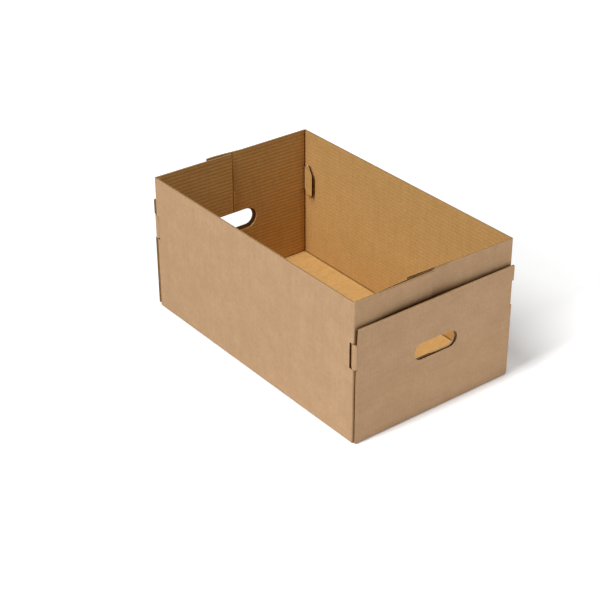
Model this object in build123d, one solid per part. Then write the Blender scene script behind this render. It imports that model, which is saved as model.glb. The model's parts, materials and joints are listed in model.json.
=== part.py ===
from build123d import *
from math import sqrt
import os

# Tray folded from one sheet of corrugated board and locked by its own ears, in millimetres.
# The origin is the middle of the underside, with X along the tray and Z up.

# Board and its creases
board = 3.0  # thickness of the corrugated board
crease_radius = 0.3  # inside radius of a creased fold
relief = 0.6  # cut gap that keeps the loose edges of the board apart

# Tray, over the outer faces of its long walls and end flaps
length = 500.0
width = 304.4
height = 235.3

# End flaps, which carry on round the corners from the long walls and lap at each end
near_flap = 148.0  # length of the flaps on the wall at -Y
far_flap = 200.0  # length of the flaps on the wall at +Y
right_lap_gap = 1.6  # gap between the lapped flaps at the +X end
left_lap_gap = 0.3  # gap between the lapped flaps at the -X end
left_spring = 1.75  # how far the outer flap at the -X end springs out at its free edge

# End panels, which fold up from the bottom outside the end flaps
panel_drop = 41.0  # rim of the walls down to the panels' upper edges
panel_gap = 0.45  # between the panels and the flap that springs out furthest
panel_inset = 0.7  # side edges of the panels in from the outer faces of the long walls
foot_chamfer = 5.0  # cut at the panels' lower corners

# Hand holes through the end panels, with wider cuts behind them, open to the flaps' free edges
hole_drop = 68.3  # panel's upper edge down to the top of its hole
hole_length = 83.0
hole_height = 28.0
hole_ease = 3.0  # how much further the cuts in the flaps run at each end
near_hole_deeper = 1.0  # how much lower the cuts in the near flaps reach
far_hole_deeper = 5.5  # how much lower the cuts in the far flaps reach

# Ears, which fold round the corners from the end panels and tuck inside the long walls
ear_drop = 26.3  # panel's upper edge down to the top of the ear's root
ear_root = 41.0  # height of the ear where it leaves the panel
ear_crease_radius = 1.5  # inside radius of the fold at the root
ear_flat = 2.8  # length beside the corner, past that fold, that lies flush with the wall
ear_bend_radius = 5.5  # largest radius of the two soft bends that take the ear under the wall
ear_tip_gap = 2.5  # inner face of the long wall to the tip's outer face
ear_hook_rise = 7.0  # height of the upper hook above the root
ear_hook_fall = 6.0  # depth of the lower hook below the root
ear_hook_run = 3.0  # length of the hooks' steep sides
ear_hook_top = 7.0  # length of the upper hook's level top
ear_nose = 11.6  # length of the slope from the upper hook's top down to the tip
ear_tip_drop = 8.0  # top of the root down to the tip's upper corner
ear_tip_radius = 7.0  # round of the tip's lower corner
opening_depth = 8.2  # outer face of the end flaps to the far edge of the ear's opening

# Places worked out from the sizes above
half_length = length / 2
half_width = width / 2
fold_radius = board + crease_radius
flap_floor = board + relief
panel_top = height - panel_drop
panel_face = half_length + left_spring + panel_gap + board
hole_top = panel_top - hole_drop
hole_low = hole_top - hole_height
ear_high = panel_top - ear_drop
ear_low = ear_high - ear_root
ear_fold_start = half_width - board - ear_crease_radius
opening_edge = half_length - opening_depth

# Ear on its way from the wall's outer face, beside the corner, to the wall's inner face
slant_start = panel_face - board - ear_crease_radius - ear_flat
slant_end = opening_edge + relief
slant_slope = (board + relief) / (slant_start - slant_end)

# Sideways lean of the flaps, per millimetre of their length, that lets each pair lap
right_far_lean = (board + right_lap_gap) / (width - near_flap)
left_far_lean = left_spring / far_flap
left_near_lean = (board + left_lap_gap - left_spring) / (width - far_flap)


def folded_section(outer_points, radii):
    """Section of the board folded along points of its outer face, with the board on their left."""
    outer_line = FilletPolyline(*outer_points, radius=radii)
    return make_face(offset(outer_line, amount=board, side=Side.LEFT).edges())


def at_both_ends(shape):
    """The shape and its mirror image at the other end of the tray."""
    return [shape, mirror(shape, about=Plane.YZ)]


def at_four_corners(shape):
    """The shape and its mirror images at the other three corners of the tray."""
    sides = [shape, mirror(shape, about=Plane.XZ)]
    return [copy for side in sides for copy in at_both_ends(side)]


def hole_cutter(near_end, far_end, low):
    """Round-ended bar along X, longer than the tray, that cuts a hand hole across its ends."""
    section = SlotOverall(far_end - near_end, hole_top - low)
    place = Plane.YZ * Pos((near_end + far_end) / 2, (hole_top + low) / 2)
    return extrude(place * section, amount=length, both=True)


def make_trough():
    """Bottom and long walls, folded up along the tray."""
    points = [(-half_width, height), (-half_width, 0), (half_width, 0), (half_width, height)]
    section = Plane.YZ * folded_section(points, fold_radius)
    return extrude(section, amount=half_length - fold_radius - relief, both=True)


def make_wall_sheet(outer_points):
    """A long wall with the flaps at its two ends, from its outline seen from above."""
    section = Pos(0, 0, flap_floor) * folded_section(outer_points, fold_radius)
    return extrude(section, amount=height - flap_floor)


def make_near_sheet():
    """Wall at -Y: its flap lies inside at the -X end and outside at the +X end."""
    free_edge = near_flap - half_width
    sheet = make_wall_sheet([
        (near_flap * left_near_lean - half_length, free_edge),
        (-half_length, -half_width),
        (half_length, -half_width),
        (half_length, free_edge),
    ])
    hole_end = hole_length / 2 + hole_ease
    return sheet - hole_cutter(-hole_end, free_edge + hole_height, hole_low - near_hole_deeper)


def make_far_sheet():
    """Wall at +Y: its flap lies inside at the +X end and outside at the -X end."""
    free_edge = half_width - far_flap
    sheet = make_wall_sheet([
        (half_length - far_flap * right_far_lean, free_edge),
        (half_length, half_width),
        (-half_length, half_width),
        (-half_length - far_flap * left_far_lean, free_edge),
    ])
    hole_end = hole_length / 2 + hole_ease
    return sheet - hole_cutter(free_edge - hole_height, hole_end, hole_low - far_hole_deeper)


def make_opening():
    """Cut for an ear, through the long wall, out across the corner crease and into the flap's edge."""
    slant_inside_flap = max(0, slant_start - half_length + board)
    slanted_board = board * sqrt(1 + slant_slope**2)
    ear_inner_face = half_width - slanted_board - slant_slope * slant_inside_flap
    low_corner = Vector(opening_edge, ear_inner_face - relief, ear_low - relief)
    high_corner = Vector(half_length + board, half_width + board, ear_high + relief)
    size = high_corner - low_corner
    return Pos(low_corner + size / 2) * Box(size.X, size.Y, size.Z)


def make_end_panel():
    """Panel folded up from the bottom, with its hand hole and the cuts above and below its ears."""
    inside_trough = half_length - 2 * fold_radius - relief
    fold_points = [(inside_trough, 0), (panel_face, 0), (panel_face, panel_top)]
    folded = Plane.XZ * folded_section(fold_points, fold_radius)
    side = half_width - panel_inset
    foot = side - foot_chamfer
    edge = [
        (foot, 0),
        (foot, board),
        (side, board + foot_chamfer),
        (side, ear_low - relief),
        (ear_fold_start, ear_low - relief),
        (ear_fold_start, ear_high + relief),
        (side, ear_high + relief),
        (side, panel_top),
    ]
    other_edge = [(-y, z) for y, z in reversed(edge)]
    outline = Plane.YZ * make_face(Polyline(*edge, *other_edge, close=True))
    panel = extrude(folded, amount=half_width, both=True) & extrude(outline, amount=length)
    return panel - hole_cutter(-hole_length / 2, hole_length / 2, hole_low)


def make_ear():
    """Ear at the +X +Y corner: its bends seen from above, cut to its outline seen from the side."""
    hook_foot = opening_edge - 2 * relief
    hook_start = hook_foot - ear_hook_run
    hook_end = hook_start - ear_hook_top
    tip = hook_end - ear_nose
    bend_points = [
        (panel_face, ear_fold_start - board),
        (panel_face, half_width),
        (slant_start, half_width),
        (slant_end, half_width - board - relief),
        (tip, half_width - board - ear_tip_gap),
    ]
    soft_bend = min(ear_bend_radius, slant_start - slant_end)
    bend_radii = [board + ear_crease_radius, soft_bend, soft_bend]
    hook_high = ear_high + ear_hook_rise
    hook_low = ear_low - ear_hook_fall
    bends = Pos(0, 0, hook_low) * folded_section(bend_points, bend_radii)

    beyond_panel = panel_face + board
    tip_low_corner = (tip, hook_low)
    outline_points = [
        (hook_foot, ear_low),
        (beyond_panel, ear_low),
        (beyond_panel, ear_high),
        (hook_foot, ear_high),
        (hook_start, hook_high),
        (hook_end, hook_high),
        (tip, ear_high - ear_tip_drop),
        tip_low_corner,
        (hook_start, hook_low),
    ]
    outline_radii = [ear_tip_radius if point == tip_low_corner else 0 for point in outline_points]
    outline = make_face(FilletPolyline(*outline_points, radius=outline_radii, close=True).edges())
    side_cut = extrude(Plane.XZ * outline, amount=width, both=True)
    return extrude(bends, amount=hook_high - hook_low) & side_cut


def make_tray():
    """The whole folded sheet as one solid."""
    walls = make_trough() + [make_near_sheet(), make_far_sheet()]
    walls -= at_four_corners(make_opening())
    return walls + at_both_ends(make_end_panel()) + at_four_corners(make_ear())


os.makedirs("parts", exist_ok=True)
export_step(make_tray(), "parts/tray.step")
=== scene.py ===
import json
import logging
from contextlib import contextmanager
from dataclasses import dataclass, field
from enum import Enum
from math import ceil, cos, hypot, pi, radians, sin, tan
from typing import Callable, Iterator, Optional, Sequence, Union

import bmesh
import bpy
from mathutils import Matrix, Vector

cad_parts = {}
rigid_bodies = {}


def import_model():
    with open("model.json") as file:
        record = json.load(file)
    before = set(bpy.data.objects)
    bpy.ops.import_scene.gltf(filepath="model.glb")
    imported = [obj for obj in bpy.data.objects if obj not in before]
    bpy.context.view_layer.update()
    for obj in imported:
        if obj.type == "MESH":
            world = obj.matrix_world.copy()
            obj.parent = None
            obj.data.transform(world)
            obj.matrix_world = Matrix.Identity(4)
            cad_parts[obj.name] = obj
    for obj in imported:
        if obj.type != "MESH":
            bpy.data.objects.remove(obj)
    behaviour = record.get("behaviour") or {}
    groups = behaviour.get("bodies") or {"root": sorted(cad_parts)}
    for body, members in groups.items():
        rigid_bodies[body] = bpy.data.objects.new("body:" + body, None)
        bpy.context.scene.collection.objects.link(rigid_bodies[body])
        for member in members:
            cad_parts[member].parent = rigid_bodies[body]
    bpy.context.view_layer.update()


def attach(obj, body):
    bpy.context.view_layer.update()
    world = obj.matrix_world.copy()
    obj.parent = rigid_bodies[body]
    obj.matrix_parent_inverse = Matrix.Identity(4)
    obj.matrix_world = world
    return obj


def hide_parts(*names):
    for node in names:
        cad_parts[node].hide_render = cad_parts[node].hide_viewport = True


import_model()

# Deep tray folded from one sheet of corrugated board. Lengths are in metres, in the frame of the CAD model:
# X along the tray, Y across it from the near long wall to the far one, Z up from the surface it stands on.

log = logging.getLogger("tray")

Thing = bpy.types.Object
Finish = bpy.types.Material
Socket = bpy.types.NodeSocket
Point = tuple[float, float]
Span = tuple[float, float]
Place = tuple[float, float, float]
Colour = tuple[float, float, float]
Spot = Callable[[Vector], bool]

ALONG = Vector((1.0, 0.0, 0.0))
ACROSS = Vector((0.0, 1.0, 0.0))
UP = Vector((0.0, 0.0, 1.0))

ENDS = (-1.0, 1.0)  # the two ends of the tray along X
OTHER_CORNERS = ((-1.0, 1.0, 1.0), (1.0, -1.0, 1.0), (-1.0, -1.0, 1.0))  # mirrors from the +X +Y corner
WHOLE_LENGTH = (-0.3, 0.3)  # stretch that is longer than the tray
WHOLE_WIDTH = (-0.2, 0.2)  # stretch that is wider than the tray
SLIVER = 1e-5  # length that counts as nothing
SQUARE_ON = 0.9  # cosine above which a face looks straight along a direction
HALF_ON = 0.5  # cosine above which a face looks roughly along a direction
PARTLY_ON = 0.3  # cosine above which a face looks partly along a direction
WHITE = (1.0, 1.0, 1.0)
EVEN = (1.0, 1.0, 1.0)  # noise that is as fine along each axis


class Layer(Enum):
    """The three papers of single-wall board, from the outside in."""

    OUTER_LINER = "outer_liner"
    FLUTING = "fluting"
    INNER_LINER = "inner_liner"


class Side(Enum):
    """Which side of the tray's middle something lies on, across the tray."""

    PLUS = 1.0
    MINUS = -1.0


class Grain(Enum):
    """Axis that the flutes of a sheet are spaced along, which is also the way its fibres lie."""

    LENGTHWAYS = 0
    CROSSWAYS = 1
    UPRIGHT = 2


class Coat(Enum):
    """Numbers of the finishes that each paper has besides its own, which is number 0."""

    CUT_EDGE = 1
    # dark crease colour, also painted shade in grooves and recesses
    SHADED_CREASE = 2
    # painted shade, for faces in hollows and gaps
    HIDDEN = 3


Sheets = dict[Layer, Thing]


def span(way: float, inner: float, outer: float) -> Span:
    """Stretch between two distances from the tray's middle, towards plus or minus."""
    low, high = sorted((way * inner, way * outer))
    return low, high


@contextmanager
def edit_mode(piece: Thing) -> Iterator[None]:
    """Hold one piece alone in edit mode, with all of it selected.

    Args:
        piece: Mesh object to work on.
    """
    take_alone(piece)
    bpy.ops.object.mode_set(mode="EDIT")
    bpy.ops.mesh.select_mode(type="VERT")
    bpy.ops.mesh.select_all(action="SELECT")
    yield
    bpy.ops.object.mode_set(mode="OBJECT")


def take_alone(piece: Thing) -> None:
    """Select one piece and nothing else.

    Args:
        piece: Object to make active.
    """
    bpy.ops.object.select_all(action="DESELECT")
    piece.select_set(True)
    bpy.context.view_layer.objects.active = piece


def settle(piece: Thing) -> None:
    """Put a piece's place, turn and size into its mesh."""
    take_alone(piece)
    bpy.ops.object.transform_apply(location=True, rotation=True, scale=True)


@contextmanager
def picking(piece: Thing, kind: str) -> Iterator[bmesh.types.BMesh]:
    """Open the mesh of a piece in edit mode to pick points, edges or faces, with nothing picked at first.

    Args:
        piece: Object in edit mode.
        kind: Select mode for what is picked.
    """
    bpy.ops.mesh.select_mode(type=kind)
    bpy.ops.mesh.select_all(action="DESELECT")
    mesh = bmesh.from_edit_mesh(piece.data)
    yield mesh
    mesh.select_flush_mode()
    bmesh.update_edit_mesh(piece.data)


def pick_points(piece: Thing, spot: Spot) -> None:
    """Select the points of a piece in edit mode that lie at a spot.

    Args:
        piece: Object in edit mode.
        spot: Test of a point's place.
    """
    with picking(piece, "VERT") as mesh:
        for point in mesh.verts:
            point.select_set(spot(point.co))


def pick_edges(piece: Thing, spot: Callable[[Vector, Vector], bool]) -> None:
    """Select the edges of a piece in edit mode by the places of their ends.

    Args:
        piece: Object in edit mode.
        spot: Test of an edge's two ends.
    """
    with picking(piece, "EDGE") as mesh:
        for edge in mesh.edges:
            edge.select_set(spot(edge.verts[0].co, edge.verts[1].co))


def pick_faces(piece: Thing, spot: Callable[[Vector, Vector], bool]) -> None:
    """Select the faces of a piece in edit mode by their place and the way they look.

    Args:
        piece: Object in edit mode.
        spot: Test of a face's middle and normal.
    """
    with picking(piece, "FACE") as mesh:
        mesh.normal_update()
        for face in mesh.faces:
            face.select_set(spot(face.calc_center_median(), face.normal))


def finish_picked(piece: Thing, coat: Coat) -> None:
    """Give the picked faces of a piece in edit mode one of its finishes."""
    piece.active_material_index = coat.value
    bpy.ops.object.material_slot_assign()


def finish_anew(piece: Thing, finish: Finish) -> None:
    """Give the picked faces of a piece in edit mode a finish that it did not have.

    Args:
        piece: Object in edit mode.
        finish: The new finish.
    """
    piece.data.materials.append(finish)
    piece.active_material_index = len(piece.data.materials) - 1
    bpy.ops.object.material_slot_assign()


def turn_outwards() -> None:
    """Point all faces of the piece in edit mode outwards."""
    bpy.ops.mesh.select_all(action="SELECT")
    bpy.ops.mesh.normals_make_consistent(inside=False)


def join(pieces: Sequence[Thing], name: str) -> Thing:
    """Join several meshes into one object.

    Args:
        pieces: Objects to join, the first of which is kept.
        name: Name of the joined object.

    Returns:
        The joined object.
    """
    take_alone(pieces[0])
    for piece in pieces[1:]:
        piece.select_set(True)
    bpy.ops.object.join()
    pieces[0].name = name
    return pieces[0]


def cut(piece: Thing, cutter: Thing, keep_inside: bool) -> None:
    """Cut a piece with a closed cutter, whose finish the cut faces take.

    Args:
        piece: Closed mesh to cut.
        cutter: Closed mesh that is taken away from it.
        keep_inside: Whether to keep what lies inside the cutter instead.
    """
    take_alone(piece)
    tool = piece.modifiers.new("cut", "BOOLEAN")
    tool.operation = "INTERSECT" if keep_inside else "DIFFERENCE"
    tool.solver = "EXACT"
    tool.material_mode = "TRANSFER"
    tool.object = cutter
    bpy.ops.object.modifier_apply(modifier=tool.name)


def at_other_corners(piece: Thing) -> list[Thing]:
    """Copy a piece, with meshes of their own, as its mirror images at the other three corners of the tray.

    Args:
        piece: Piece at the right-hand far corner.

    Returns:
        The copies.
    """
    twins = []
    for mirror in OTHER_CORNERS:
        take_alone(piece)
        bpy.ops.object.duplicate()
        twin = bpy.context.object
        twin.scale = mirror
        settle(twin)
        with edit_mode(twin):
            turn_outwards()
        twins.append(twin)
    return twins


@dataclass(frozen=True)
class Board:
    """Single-wall board: two liners glued to the crests of a fluted paper."""

    thickness: float = 0.0030
    liner: float = 0.00036
    fluting: float = 0.00028
    pitch: float = 0.00635
    outer_sag: float = 0.00005
    inner_sag: float = 0.00022
    sag_sharpness: float = 1.6
    fluting_rows: int = 8
    liner_rows: int = 4

    @property
    def swing(self) -> float:
        """How far the middle of the fluting swings to each side."""
        return (self.thickness - 2 * self.liner - self.fluting) / 2

    def depths(self, layer: Layer) -> Span:
        """Depth of a paper's two faces below the board's outer face.

        Args:
            layer: Paper that is asked for.

        Returns:
            Depth of its outer face and of its inner face, before any wave.
        """
        if layer is Layer.OUTER_LINER:
            return 0.0, self.liner
        if layer is Layer.INNER_LINER:
            return self.thickness - self.liner, self.thickness
        return (self.thickness - self.fluting) / 2, (self.thickness + self.fluting) / 2

    def rows(self, layer: Layer) -> int:
        """Rows of faces that a paper has in each flute."""
        return self.fluting_rows if layer is Layer.FLUTING else self.liner_rows

    def wave(self, layer: Layer, phase: float) -> float:
        """How far a paper is pushed inwards at a place in a flute.

        Args:
            layer: Paper that is asked for.
            phase: Place in the flute, from 0 to 1, with the outer crest at 0.

        Returns:
            Shift along the depth of the board.
        """
        crest = cos(2 * pi * phase)
        if layer is Layer.OUTER_LINER:
            return self.outer_sag * (1 - crest) / 2
        if layer is Layer.INNER_LINER:
            return -self.inner_sag * ((1 + crest) / 2) ** self.sag_sharpness
        return -self.swing * crest


@dataclass(frozen=True)
class Run:
    """Straight stretch of a folded sheet."""

    step: Vector
    parts: int = 1
    sway: Vector = field(default_factory=Vector)

    def carry(self) -> None:
        """Extrude the selected section along the run, swaying it where the flutes cross the run."""
        beats = (0.0, 1.0, 0.0, -1.0)
        for part in range(self.parts):
            beat = beats[(part + 1) % 4] - beats[part % 4]
            move = self.step / self.parts + self.sway * beat
            bpy.ops.mesh.extrude_region_move(TRANSFORM_OT_translate={"value": move})


@dataclass(frozen=True)
class Bend:
    """Crease or soft bend of a folded sheet."""

    centre: Vector
    axis: Vector
    angle: float
    steps: int

    def carry(self) -> None:
        """Spin the selected section round the bend, which the operator counts clockwise."""
        bpy.ops.mesh.spin(steps=self.steps, angle=-self.angle, center=self.centre, axis=self.axis)


@dataclass(frozen=True)
class FoldPath:
    """Line of a sheet's outer face, with the board on its left, in a plane of the tray."""

    points: tuple[Point, ...]
    radii: tuple[float, ...]
    parts: tuple[int, ...]
    bend_steps: int = 6
    shoulder: float = 0.0
    swaying_parts: int = 8
    first: Vector = field(default_factory=ALONG.copy)
    second: Vector = field(default_factory=ACROSS.copy)

    @property
    def axis(self) -> Vector:
        """Axis that left turns go round."""
        return self.first.cross(self.second)

    @property
    def folds(self) -> range:
        """Numbers of the points that the path turns at."""
        return range(1, len(self.points) - 1)

    def place(self, point: Sequence[float]) -> Vector:
        """The place in the tray of a point of the plane."""
        return self.first * point[0] + self.second * point[1]

    def leg(self, index: int) -> Vector:
        """Way in the plane from one of the path's points to the next."""
        return Vector(self.points[index + 1]) - Vector(self.points[index])

    def heading(self, index: int) -> Vector:
        """Direction of the path after one of its points."""
        return self.leg(index).normalized()

    def left(self, index: int) -> Vector:
        """Direction across the board, inwards, after one of the path's points."""
        heading = self.heading(index)
        return Vector((-heading.y, heading.x))

    def turn(self, index: int) -> float:
        """Angle that the path turns through at one of its inner points, to the left."""
        return self.heading(index - 1).angle_signed(self.heading(index)) * -1.0

    def setback(self, index: int) -> float:
        """Length that a bend takes from the runs on both of its sides."""
        if index not in self.folds:
            return 0.0
        return self.radii[index - 1] * tan(abs(self.turn(index)) / 2)

    def frame_at_start(self, across: Vector) -> Matrix:
        """Frame of the section at the start: depth, across the sheet, and the way it goes.

        Args:
            across: Direction across the sheet.

        Returns:
            Matrix that takes a flat section to the start of the path.
        """
        depth = self.place(self.left(0))
        frame_turn = Matrix((depth, across, depth.cross(across))).transposed().to_4x4()
        return Matrix.Translation(self.place(self.points[0])) @ frame_turn

    def stages(self, sway: float) -> Iterator[Union[Run, Bend]]:
        """Runs and bends from the start of the path to its end.

        Args:
            sway: How far a paper swings to each side on the long runs, or nothing.

        Returns:
            The stages in order.
        """
        last = len(self.points) - 1
        for index in range(last):
            before = self.shoulder if index > 0 else 0.0
            after = self.shoulder if index + 1 < last else 0.0
            free = self.leg(index).length - self.setback(index) - self.setback(index + 1) - before - after
            way = self.place(self.heading(index))
            if before > 0.0:
                yield Run(way * before)
            if free > SLIVER:
                parts = self.parts[index]
                swing = self.place(self.left(index)) * (sway if parts >= self.swaying_parts else 0.0)
                yield Run(way * free, parts, swing)
            if after > 0.0:
                yield Run(way * after)
            if index + 1 < last:
                yield self.bend_at(index + 1)

    def bisector(self, index: int) -> Vector:
        """Direction from the middle of a bend out to its corner."""
        return self.place((self.heading(index - 1) - self.heading(index)).normalized())

    def bend_at(self, index: int) -> Bend:
        """The bend at one of the path's inner points.

        Args:
            index: Number of the point.

        Returns:
            The bend.
        """
        angle = self.turn(index)
        side = 1.0 if angle > 0 else -1.0
        foot = Vector(self.points[index]) - self.heading(index - 1) * self.setback(index)
        centre = foot + self.left(index - 1) * self.radii[index - 1] * side
        return Bend(self.place(centre), self.axis, angle, self.bend_steps)


class Nodes:
    """Node tree while it is laid out."""

    def __init__(self, tree: bpy.types.NodeTree) -> None:
        """Take up a node tree."""
        self.tree = tree

    def feed(self, value: object, target: Socket) -> None:
        """Link a socket to an input, or set the input to a plain value.

        Args:
            value: Socket that the value comes from, or the value.
            target: Input to feed.
        """
        if isinstance(value, Socket):
            self.tree.links.new(value, target)
        else:
            target.default_value = value

    def add(self, kind: str, inputs: dict[Union[str, int], object], **settings: object) -> bpy.types.Node:
        """Add a node, set its properties and feed its inputs.

        Args:
            kind: Type of the node.
            inputs: Sockets or values by the name or number of the input.
            settings: Properties of the node by name.

        Returns:
            The new node.
        """
        node = self.tree.nodes.new(kind)
        for name, value in settings.items():
            setattr(node, name, value)
        for name, value in inputs.items():
            self.feed(value, node.inputs[name])
        return node

    def place(self) -> Socket:
        """Place on the piece in its own coordinates, which are the tray's."""
        return self.add("ShaderNodeTexCoord", {}).outputs["Object"]

    def coordinate(self, axis: int) -> Socket:
        """Place on the piece along one axis."""
        return self.add("ShaderNodeSeparateXYZ", {"Vector": self.place()}).outputs[axis]

    def maths(self, operation: str, *values: object) -> Socket:
        """Work out one number from one or two."""
        return self.add("ShaderNodeMath", dict(enumerate(values)), operation=operation).outputs[0]

    def noise(self, stretch: Sequence[float], scale: float, detail: float) -> Socket:
        """Noise on the tray's own coordinates.

        Args:
            stretch: How much finer the noise is along each axis.
            scale: Number of its blots in a metre.
            detail: How many finer noises are laid over it.

        Returns:
            The noise's value.
        """
        turn = self.add("ShaderNodeMapping", {"Vector": self.place(), "Scale": tuple(stretch)})
        inputs = {"Vector": turn.outputs["Vector"], "Scale": scale, "Detail": detail}
        return self.add("ShaderNodeTexNoise", inputs).outputs["Fac"]

    def spread(self, value: Socket, low: float, high: float, to_low: object, to_high: object) -> Socket:
        """Map a range of values to another, clamped.

        Args:
            value: Value to map.
            low: Start of its range.
            high: End of its range.
            to_low: What the start becomes.
            to_high: What the end becomes.

        Returns:
            The mapped value.
        """
        inputs = {"Value": value, "From Min": low, "From Max": high, "To Min": to_low, "To Max": to_high}
        return self.add("ShaderNodeMapRange", inputs).outputs["Result"]

    def blend(self, share: Socket, base: Union[Colour, Socket], over: Colour) -> Socket:
        """Lay one colour over another.

        Args:
            share: How much of the upper colour shows.
            base: Colour underneath, or the socket it comes from.
            over: Upper colour.

        Returns:
            The blended colour.
        """
        under = base if isinstance(base, Socket) else (*base, 1.0)
        inputs = {"Factor": share, "A": under, "B": (*over, 1.0)}
        return self.add("ShaderNodeMix", inputs, data_type="RGBA").outputs["Result"]

    def seen_rays(self) -> Socket:
        """Tell rays that show the background, straight or mirrored, from those that light the tray.

        Returns:
            One for a ray that shows the background, and nothing for the others.
        """
        rays = self.add("ShaderNodeLightPath", {}).outputs
        bent = self.maths("MAXIMUM", rays["Is Glossy Ray"], rays["Is Transmission Ray"])
        return self.maths("MAXIMUM", rays["Is Camera Ray"], bent)


class MaterialNodes(Nodes):
    """Node tree of a new material, round its principled shader."""

    def __init__(self, name: str) -> None:
        """Start a material.

        Args:
            name: Name of the material.
        """
        self.material = bpy.data.materials.new(name)
        self.material.use_nodes = True
        super().__init__(self.material.node_tree)

    def relief(self, height: Socket, strength: float, depth: float) -> Socket:
        """Normal of a surface with fine relief.

        Args:
            height: Height of the relief.
            strength: How much of it shows.
            depth: Its depth.

        Returns:
            The normal.
        """
        inputs = {"Height": height, "Strength": strength, "Distance": depth}
        return self.add("ShaderNodeBump", inputs).outputs["Normal"]

    def dress(self, inputs: dict[str, object]) -> Finish:
        """Feed the shader's inputs by name, which finishes the material.

        Args:
            inputs: Sockets or values by the name of the input.

        Returns:
            The material.
        """
        for name, value in inputs.items():
            self.feed(value, self.tree.nodes["Principled BSDF"].inputs[name])
        return self.material


@dataclass(frozen=True)
class Blots:
    """How a noise lays a tone over a paper: its detail, the values it fades in between, and its strength."""

    detail: float
    low: float
    high: float
    share: float = 1.0


MOTTLE = Blots(3.0, 0.38, 0.66)
CLOUDS = Blots(2.0, 0.44, 0.76, 0.42)
STREAKS = Blots(1.0, 0.46, 0.72, 0.22)
FIBRES = Blots(2.0, 0.50, 0.74, 0.34)
SPECKS = Blots(0.0, 0.71, 0.78, 0.42)
FUZZ = Blots(2.0, 0.35, 0.70)


@dataclass(frozen=True)
class KraftPaper:
    """Unbleached liner: mottled brown, with fibres across the flutes and flutes that show faintly."""

    name: str
    colour: Colour
    pale: Colour
    dark: Colour
    fleck: Colour
    grain: Grain
    flute_show: float
    # strength of the lines on the ends, painted shade of the washboard
    end_shade: float
    flute_start: float
    pitch: float = Board.pitch
    line_start: float = -0.4
    end_span: Span = (0.2436, 0.2446)
    mottle: float = 34.0
    clouds: float = 180.2
    fibre: Span = (0.0007, 0.0060)
    speck: Span = (0.00056, 0.0027)
    streak: Span = (0.0055, 0.0900)
    cloud_span: Span = (0.3, 0.7)
    roughness: Span = (0.77, 0.88)
    shine: float = 0.06
    bump: float = 0.35
    bump_depth: float = 0.00005

    def laid(self, nodes: Nodes, size: Span, detail: float) -> Socket:
        """Noise whose blots lie along the fibres.

        Args:
            nodes: Node tree to add to.
            size: Width and length of a blot.
            detail: How many finer noises are laid over it.

        Returns:
            The noise's value.
        """
        width, length = size
        scales = [1.0 / width] * 3
        scales[self.grain.value] = 1.0 / length
        return nodes.noise(scales, 1.0, detail)

    def material(self) -> Finish:
        """Lay out the paper's material.

        Returns:
            The material.
        """
        nodes = MaterialNodes(self.name)
        clouds = nodes.noise(EVEN, self.clouds, CLOUDS.detail)
        fibres = self.laid(nodes, self.fibre, FIBRES.detail)
        overlays = (
            (nodes.noise(EVEN, self.mottle, MOTTLE.detail), MOTTLE, self.pale),
            (clouds, CLOUDS, self.dark),
            (self.laid(nodes, self.streak, STREAKS.detail), STREAKS, self.dark),
            (fibres, FIBRES, self.dark),
            (self.laid(nodes, self.speck, SPECKS.detail), SPECKS, self.fleck),
        )
        tone = self.colour
        for noise, blots, over in overlays:
            tone = nodes.blend(nodes.spread(noise, blots.low, blots.high, 0.0, blots.share), tone, over)
        return nodes.dress({
            "Base Color": nodes.blend(self.flute_lines(nodes), tone, self.dark),
            "Roughness": nodes.spread(clouds, *self.cloud_span, *self.roughness),
            "Specular IOR Level": self.shine,
            "Normal": nodes.relief(fibres, self.bump, self.bump_depth),
        })

    def flute_lines(self, nodes: Nodes) -> Socket:
        """Darker lines between the glue lines of the flutes: faint everywhere as the paper's own marks, and
        much stronger on the ends of the tray as painted shade of the washboard under grazing light.

        Args:
            nodes: Node tree to add to.

        Returns:
            How much darker the paper is.
        """
        along = nodes.maths("SUBTRACT", nodes.coordinate(self.grain.value), self.flute_start)
        swing = nodes.maths("COSINE", nodes.maths("MULTIPLY", along, 2 * pi / self.pitch))
        lines = nodes.spread(swing, self.line_start, 1.0, 0.0, 1.0)
        reach = nodes.maths("ABSOLUTE", nodes.coordinate(Grain.LENGTHWAYS.value))
        show = nodes.spread(reach, *self.end_span, self.flute_show, self.end_shade)
        return nodes.maths("MULTIPLY", lines, show)


@dataclass(frozen=True)
class RawPaper:
    """Paper without a liner's smooth face: fluting, cut edges, creases, painted shade and painted light, with
    loose fibres.
    """

    name: str
    colour: Colour
    pale: Colour
    fuzz: float = 900.0
    roughness: float = 0.9
    bump: float = 0.4
    bump_depth: float = 0.00008

    def material(self) -> Finish:
        """Lay out the paper's material, unless another sheet has it already.

        Returns:
            The material.
        """
        made = bpy.data.materials.get(self.name)
        if made:
            return made
        nodes = MaterialNodes(self.name)
        fuzz = nodes.noise(EVEN, self.fuzz, FUZZ.detail)
        share = nodes.spread(fuzz, FUZZ.low, FUZZ.high, 0.0, FUZZ.share)
        return nodes.dress({
            "Base Color": nodes.blend(share, self.colour, self.pale),
            "Roughness": self.roughness,
            "Specular IOR Level": 0.0,
            "Normal": nodes.relief(fuzz, self.bump, self.bump_depth),
        })


FLUTING = RawPaper("fluting_paper", (0.300, 0.180, 0.080), (0.380, 0.235, 0.115))
CUT_EDGE = RawPaper("cut_edge", (0.430, 0.275, 0.145), (0.560, 0.380, 0.215))
# Pale crushed paper for the flaps' cut edges round the hand holes, paler than the plain cut edge as painted
# light on edges that lie in shade.
CRUSHED_EDGE_LIGHT = RawPaper("crushed_edge_painted_light", (0.600, 0.415, 0.205), (0.680, 0.480, 0.250))
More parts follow.
